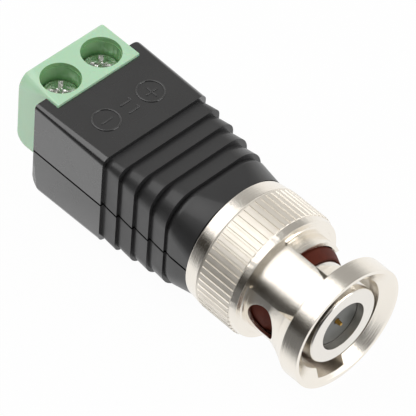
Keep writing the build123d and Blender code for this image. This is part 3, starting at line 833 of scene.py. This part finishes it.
# Raised marks on the upper shell: a plus and a minus, each in a ring, with two dashes between them. They
# are part of the moulding, so they are joined to the shell.
mark_x = box_rear_x + 5.57
mark_y = 2.78
mark_ring_radius = 1.33
mark_line = 0.085
mark_arm = 0.69
sign_x = mark_x + 0.12
dash_x = box_rear_x + 5.72
dash_offset = 0.58
dash_half = 0.65
dash_foot_set = 0.14
dash_foot_half = 0.17
mark_lift = 0.01
marks = []
for y in (-mark_y, mark_y):
    marks.append(begin(bpy.ops.mesh.primitive_torus_add, "mark_ring", major_segments=72, minor_segments=12,
                       major_radius=mark_ring_radius, minor_radius=mark_line,
                       location=(mark_x, y, box_top + mark_lift)))


def raised_bar(x, y, half_x, half_y):
    """Low rounded bar on the top face."""
    bar = begin(bpy.ops.mesh.primitive_cube_add, "mark_bar", size=2)
    bar.scale = (half_x, half_y, mark_line)
    bar.location = (x, y, box_top + mark_lift)
    bpy.ops.object.transform_apply(location=True, rotation=True, scale=True)
    soften(bar, 0.05, 60, 3)
    return bar


marks.append(raised_bar(sign_x, -mark_y, mark_line, mark_arm))
marks.append(raised_bar(sign_x, mark_y, mark_line, mark_arm))
marks.append(raised_bar(sign_x, mark_y, mark_arm, mark_line))
for side in (-1, 1):
    x = dash_x + side * dash_offset
    marks.append(raised_bar(x, 0, mark_line, dash_half))
    marks.append(raised_bar(x - dash_foot_set, dash_half, dash_foot_half, mark_line))
bpy.ops.object.select_all(action="DESELECT")
for mark in marks:
    shade(mark, 40)
for mark in marks + [shells["upper_shell"]]:
    mark.select_set(True)
bpy.context.view_layer.objects.active = shells["upper_shell"]
bpy.ops.object.join()
hand_over(shells["upper_shell"], black_abs, "adapter", "black_housing", "housing_top")


# Terminal block: one green polyamide moulding with a screw well over each wire entry. It fits in the
# open rear of the housing.
block_low, block_high = [Vector(corner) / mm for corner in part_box("terminal_block")]
block_top_round = 0.45
block_bottom_round = 1.2
block_side_round = 0.5
block_corner = 1.9
block_corner_front = 0.3
well_x = block_low.x + 2.84
well_radius = 1.957
well_step_depth = 0.5
well_lower_radius = 1.91
screw_seat_z = block_high.z - 2.72
chamber_top_z = screw_seat_z - 0.4
chamber_length = 3.2
chamber_width = 3.5
entry_z = -0.65
wire_entry_radius = 1.3
shank_hole_radius = 1.35
strip_slot_low = 0.27

green_nylon = empty_material("green_nylon")
tree = green_nylon.node_tree
place = add(tree, "ShaderNodeTexCoord")
grain = add(tree, "ShaderNodeTexNoise", {"Vector": place.outputs["Object"], "Scale": 1 / (0.1 * mm),
                                         "Detail": 3.0})
cloud = add(tree, "ShaderNodeTexNoise", {"Vector": place.outputs["Object"], "Scale": 1 / (4 * mm)})
tint = add(tree, "ShaderNodeValToRGB", {0: cloud.outputs[0]})
tint.color_ramp.elements[0].color = linear("#BBE6C2")
tint.color_ramp.elements[1].color = linear("#C3EAC9")
axes = add(tree, "ShaderNodeSeparateXYZ", {0: place.outputs["Object"]})
# Painted shade in the screw wells: inside each well the green is made darker, standing in for the shade
# down in the well.
across = add(tree, "ShaderNodeMath", {0: axes.outputs["Y"]}, operation="ABSOLUTE")
across = add(tree, "ShaderNodeMath", {0: across.outputs[0], 1: strip_y * mm}, operation="SUBTRACT")
behind = add(tree, "ShaderNodeMath", {0: axes.outputs["X"], 1: well_x * mm}, operation="SUBTRACT")
from_well = add(tree, "ShaderNodeCombineXYZ", {"X": behind.outputs[0], "Y": across.outputs[0]})
from_well = add(tree, "ShaderNodeVectorMath", {0: from_well.outputs[0]}, operation="LENGTH")
painted_well_shade = add(tree, "ShaderNodeMath", {0: from_well.outputs["Value"], 1: (well_radius + 0.02) * mm},
              operation="LESS_THAN")
tone = add(tree, "ShaderNodeMix", {"Factor": painted_well_shade.outputs[0]}, data_type="RGBA")
tree.links.new(tint.outputs["Color"], tone.inputs["A"])
tone.inputs["B"].default_value = linear("#8CBE86")
bump = add(tree, "ShaderNodeBump", {"Height": grain.outputs[0], "Strength": 0.15, "Distance": 0.01 * mm})
plastic = add(tree, "ShaderNodeBsdfPrincipled", {"Base Color": tone.outputs["Result"], "Roughness": 0.42,
                                                 "IOR": 1.53, "Normal": bump.outputs[0],
                                                 "Coat Weight": 0.8, "Coat Roughness": 0.2,
                                                 "Subsurface Weight": 0.15, "Subsurface Scale": 0.6 * mm})
finish_material(green_nylon, plastic)


def block_section(corner):
    """Section of the block, with its top corner on the minus side rounded, as (y, z) points."""
    points = [(block_high.y, block_high.z)]
    for step in range(corner_steps + 1):
        angle = math.pi / 2 * (1 + step / corner_steps)
        points.append((block_low.y + corner * (1 + math.cos(angle)),
                       block_high.z - corner * (1 - math.sin(angle))))
    return points + [(block_low.y, block_low.z), (block_high.y, block_low.z)]


front_section = block_section(block_corner_front)
block = carry("green_block", [(block_low.x, block_section(block_corner)), (box_rear_x, front_section),
                              (block_high.x, front_section)])
round_rear(block, block_low.x, block_high.z, block_top_round, -1)
round_rear(block, block_low.x, block_low.z, block_bottom_round, 1)
round_rear(block, block_low.x, block_high.y, block_side_round, -1, upright=True)
for y in (-strip_y, strip_y):
    for radius, low_z, high_z in ((well_radius, block_high.z - well_step_depth, 9),
                                  (well_lower_radius, screw_seat_z, 8.5),
                                  (shank_hole_radius, chamber_top_z - 1, 8)):
        well = begin(bpy.ops.mesh.primitive_cylinder_add, "well", vertices=96, radius=radius,
                     depth=high_z - low_z, location=(well_x, y, (high_z + low_z) / 2))
        combine(block, well, "DIFFERENCE")
    cut_box(block, (well_x - chamber_length / 2, y - chamber_width / 2, block_low.z - 1),
            (well_x + chamber_length / 2, y + chamber_width / 2, chamber_top_z))
    entry = rod("entry", block_low.x - 1, well_x, wire_entry_radius, (y, entry_z))
    combine(block, entry, "DIFFERENCE")
    cut_box(block, (well_x, y - strip_slot_half, strip_slot_low),
            (block_high.x + 1, y + strip_slot_half, strip_slot_top))
soften(block, 0.08, 40, 3)
shade(block, 40)
hand_over(block, green_nylon, "adapter", "green_block", "terminal_block")


# Clamp screws: zinc-plated steel, cold headed, with a cross slot pressed into a low dome. Each one lifts
# the cage under it, which grips the wire.
head_radius = 1.7
head_height = 0.75
head_dome = 0.22
cross_width = 0.45
cross_length = 2.9
cross_depth = 0.4
cross_angle = -45
shank_radius = 1.18
shank_length = 2.6

zinc_plate = empty_material("zinc_plate")
tree = zinc_plate.node_tree
place = add(tree, "ShaderNodeTexCoord")
grain = add(tree, "ShaderNodeTexNoise", {"Vector": place.outputs["Object"], "Scale": 1 / (0.15 * mm),
                                         "Detail": 5.0})
worn = add(tree, "ShaderNodeMapRange", {"Value": grain.outputs[0], "To Min": 0.08, "To Max": 0.4})
hammer = add(tree, "ShaderNodeTexNoise", {"Vector": place.outputs["Object"], "Scale": 1 / (0.5 * mm),
                                          "Detail": 1.0})
bump = add(tree, "ShaderNodeBump", {"Height": hammer.outputs[0], "Strength": 1.0, "Distance": 0.2 * mm})
metal = add(tree, "ShaderNodeBsdfPrincipled", {"Base Color": linear("#F4F4F2"), "Metallic": 1.0,
                                               "Roughness": worn.outputs[0], "Normal": bump.outputs[0]})
finish_material(zinc_plate, metal)

seat_z = screw_seat_z + seat_gap
for pole, y in (("minus", -strip_y), ("plus", strip_y)):
    top_z = seat_z + head_height
    screw = lathe("screw_" + pole, [
        (seat_z - shank_length, shank_radius),
        (seat_z, shank_radius),
        (seat_z, head_radius),
        (top_z - 0.1, head_radius),
        (top_z, head_radius - 0.1),
        (top_z + head_dome * 0.6, head_radius * 0.65),
        (top_z + head_dome * 0.9, head_radius * 0.3),
        (top_z + head_dome, head_radius * 0.02),
    ], count=72, along="Z", solid=True, at=(well_x, y))
    only(screw)
    bpy.ops.object.mode_set(mode="EDIT")
    bpy.ops.mesh.select_all(action="SELECT")
    bpy.ops.mesh.fill_holes(sides=0)
    bpy.ops.mesh.normals_make_consistent(inside=False)
    bpy.ops.object.mode_set(mode="OBJECT")
    for quarter in (0, 90):
        slot_bar = begin(bpy.ops.mesh.primitive_cube_add, "slot_bar", size=1)
        slot_bar.scale = (cross_length, cross_width, 2)
        slot_bar.rotation_euler = (0, 0, math.radians(cross_angle + quarter))
        slot_bar.location = (well_x, y, top_z - cross_depth + 1)
        bpy.ops.object.transform_apply(location=True, rotation=True, scale=True)
        combine(screw, slot_bar, "DIFFERENCE")
    soften(screw, 0.04, 40, 2)
    shade(screw, 40)
    hand_over(screw, zinc_plate, "screw_" + pole, "zinc_steel", "terminal_screw_" + pole)


# Pieces inside the housing and the block: cages, strips, lug, nut, washers, wires and the rear insulator.
# Their shapes are plain stampings, rings and tubes, so each keeps its solid and takes its real finish.
def dress(node, material):
    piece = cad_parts[node]
    piece.data.materials.clear()
    piece.data.materials.append(material)


def plain_finish(name, hue, metallic, roughness, grain_mm):
    material = empty_material(name)
    tree = material.node_tree
    place = add(tree, "ShaderNodeTexCoord")
    grain = add(tree, "ShaderNodeTexNoise", {"Vector": place.outputs["Object"],
                                             "Scale": 1 / (grain_mm * mm), "Detail": 3.0})
    worn = add(tree, "ShaderNodeMapRange", {"Value": grain.outputs[0], "To Min": roughness - 0.08,
                                            "To Max": roughness + 0.08})
    bump = add(tree, "ShaderNodeBump", {"Height": grain.outputs[0], "Strength": 0.2, "Distance": 0.01 * mm})
    shader = add(tree, "ShaderNodeBsdfPrincipled", {"Base Color": linear(hue), "Metallic": metallic,
                                                    "Roughness": worn.outputs[0],
                                                    "Normal": bump.outputs[0]})
    return finish_material(material, shader)


tin_plate = plain_finish("tin_plate", "#D4D2CC", 1.0, 0.35, 0.2)
spring_steel = plain_finish("spring_steel", "#B9B7B2", 1.0, 0.3, 0.15)
red_pvc = plain_finish("red_pvc", "#A8201C", 0.0, 0.45, 0.3)
black_pvc = plain_finish("black_pvc", "#1C1C1D", 0.0, 0.45, 0.3)
for pole in ("minus", "plus"):
    dress("clamp_cage_" + pole, zinc_plate)
    dress("contact_strip_" + pole, tin_plate)
dress("ground_lug", tin_plate)
dress("rear_nut", turned_nickel)
dress("rear_insulator", gray_acetal)
dress("signal_wire", red_pvc)
dress("ground_wire", black_pvc)
for node in ("thrust_washer", "spring_washer", "retaining_ring"):
    dress(node, spring_steel)

bpy.context.scene.view_settings.view_transform = "Standard"
